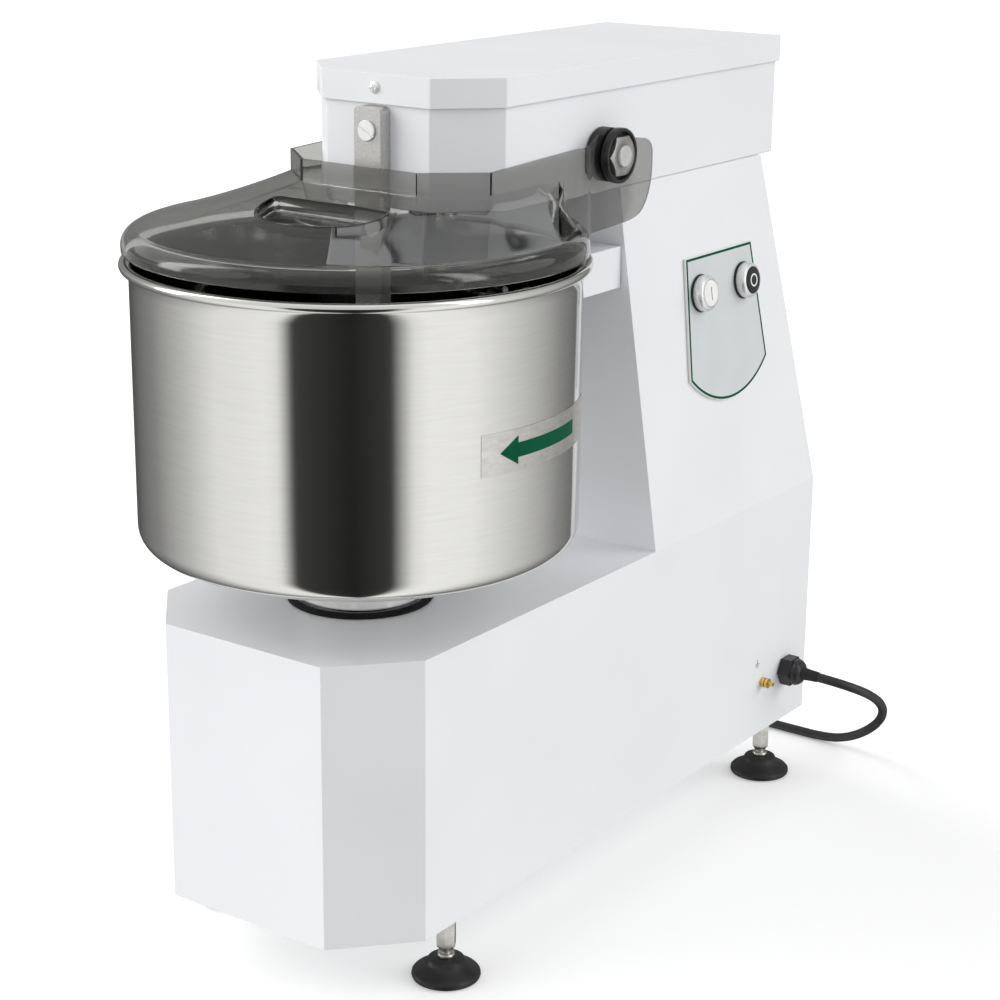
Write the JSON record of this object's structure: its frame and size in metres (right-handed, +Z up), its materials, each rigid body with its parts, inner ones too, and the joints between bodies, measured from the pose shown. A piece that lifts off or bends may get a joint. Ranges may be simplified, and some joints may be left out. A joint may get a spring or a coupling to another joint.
{
  "type": "spiral dough mixer",
  "caption": "Commercial spiral dough mixer: a steel bowl turns on a low white base under a fixed head with a tilting smoked guard, side control panel and levelling feet.",
  "frame": {"origin": "on the floor under the middle of the machine without its cord: bottom centre of its bounding box", "axes": "+Z up, -Y towards the bowl end, +X towards the control panel side"},
  "size_m": [0.4635, 1.0024, 0.8185],
  "materials": {
    "white_powder_coat": "fine textured white powder coat",
    "stainless": "polished stainless steel",
    "machined_steel": "machined steel",
    "black_rubber": "matt black rubber",
    "cast_iron": "cast iron",
    "blackened_steel": "oiled dark steel",
    "cast_alloy": "cast aluminium alloy",
    "bronze": "bronze",
    "brass": "plain brass",
    "smoked_guard": "clear smoked sheet, glossy",
    "satin_chrome": "satin chrome",
    "panel_grey": "printed pale grey panel with a green border",
    "white_cap": "white moulded cap",
    "black_plastic": "black moulding",
    "black_cord": "black sheathed cord"
  },
  "bodies": {
    "frame": {"body_shell": "white_powder_coat", "bottom_plate": "white_powder_coat", "rear_panel": "white_powder_coat", "rear_shield": "white_powder_coat", "head_box": "white_powder_coat", "head_lid": "white_powder_coat", "breaker_bar": "stainless", "lid_screw": "machined_steel", "breaker_screw": "machined_steel", "bowl_bearing_lower": "machined_steel", "bowl_bearing_upper": "machined_steel", "spiral_bearings": "machined_steel", "seal_ring": "black_rubber", "bowl_bearing_housing": "cast_iron", "spiral_bearing_housing": "cast_iron", "drive_bearing": "cast_iron", "bowl_chain": "blackened_steel", "spiral_chain": "blackened_steel", "gearbox_casing": "cast_alloy", "motor_casing": "cast_alloy", "earth_terminal": "brass", "start_bezel": "satin_chrome", "stop_bezel": "satin_chrome", "control_panel": "panel_grey", "contact_block": "black_plastic", "guard_switch": "black_plastic", "cable_gland": "black_plastic", "mains_plug": "black_plastic", "cord_tube": "black_cord", "cord_coil": "black_cord"},
    "bowl_unit": {"bowl": "stainless", "bowl_hub": "machined_steel", "bowl_shaft": "machined_steel", "bowl_sprocket": "blackened_steel"},
    "drive_unit": {"drive_shaft": "machined_steel", "drive_sprocket_lower": "blackened_steel", "drive_sprocket_upper": "blackened_steel", "worm_wheel": "bronze"},
    "spiral_unit": {"spiral_hook": "stainless", "spiral_shaft": "machined_steel", "spiral_sprocket": "blackened_steel"},
    "rotor_unit": {"motor_rotor": "machined_steel"},
    "guard_unit": {"guard": "smoked_guard", "pivot_bolt_left": "machined_steel", "pivot_bolt_right": "machined_steel", "pivot_nut_left": "machined_steel", "pivot_nut_right": "machined_steel", "pivot_knob_left": "black_rubber", "pivot_knob_right": "black_rubber", "guard_cam": "black_plastic"},
    "start_unit": {"start_button": "white_cap"},
    "stop_unit": {"stop_button": "black_plastic"},
    "foot_front_left": {"foot_pad_front_left": "black_rubber", "foot_stem_front_left": "machined_steel"},
    "foot_front_right": {"foot_pad_front_right": "black_rubber", "foot_stem_front_right": "machined_steel"},
    "foot_rear_left": {"foot_pad_rear_left": "black_rubber", "foot_stem_rear_left": "machined_steel"},
    "foot_rear_right": {"foot_pad_rear_right": "black_rubber", "foot_stem_rear_right": "machined_steel"}
  },
  "joints": [
    {"name": "bowl_spin", "type": "hinge", "parent": "frame", "child": "bowl_unit", "pos_m": [0, -0.1965, 0.5], "axis": [0, 0, -1], "continuous": true},
    {"name": "drive_spin", "type": "hinge", "parent": "frame", "child": "drive_unit", "pos_m": [0, 0.2035, 0.5], "axis": [0, 0, -1], "continuous": true},
    {"name": "spiral_spin", "type": "hinge", "parent": "frame", "child": "spiral_unit", "pos_m": [0, -0.0845, 0.7], "axis": [0, 0, -1], "continuous": true},
    {"name": "rotor_spin", "type": "hinge", "parent": "frame", "child": "rotor_unit", "pos_m": [-0.0615, 0.1, 0.122], "axis": [0, 1, 0], "continuous": true},
    {"name": "guard_hinge", "type": "hinge", "parent": "frame", "child": "guard_unit", "pos_m": [0, 0.034, 0.734], "axis": [-1, 0, 0], "range_deg": [0, 70]},
    {"name": "start_press", "type": "slide", "parent": "frame", "child": "start_unit", "axis": [-0.9917, 0, -0.1285], "range_m": [0, 0.003], "stiffness_N_per_m": 400},
    {"name": "stop_press", "type": "slide", "parent": "frame", "child": "stop_unit", "axis": [-0.9917, 0, -0.1285], "range_m": [0, 0.003], "stiffness_N_per_m": 400},
    {"name": "level_front_left", "type": "slide", "parent": "frame", "child": "foot_front_left", "axis": [0, 0, -1], "range_m": [0, 0.012]},
    {"name": "level_front_right", "type": "slide", "parent": "frame", "child": "foot_front_right", "axis": [0, 0, -1], "range_m": [0, 0.012]},
    {"name": "level_rear_left", "type": "slide", "parent": "frame", "child": "foot_rear_left", "axis": [0, 0, -1], "range_m": [0, 0.012]},
    {"name": "level_rear_right", "type": "slide", "parent": "frame", "child": "foot_rear_right", "axis": [0, 0, -1], "range_m": [0, 0.012]}
  ],
  "couplings": [
    {"joint": "drive_spin", "follows": "bowl_spin", "ratio": 4.1538},
    {"joint": "spiral_spin", "follows": "bowl_spin", "ratio": 7.7885}
  ]
}
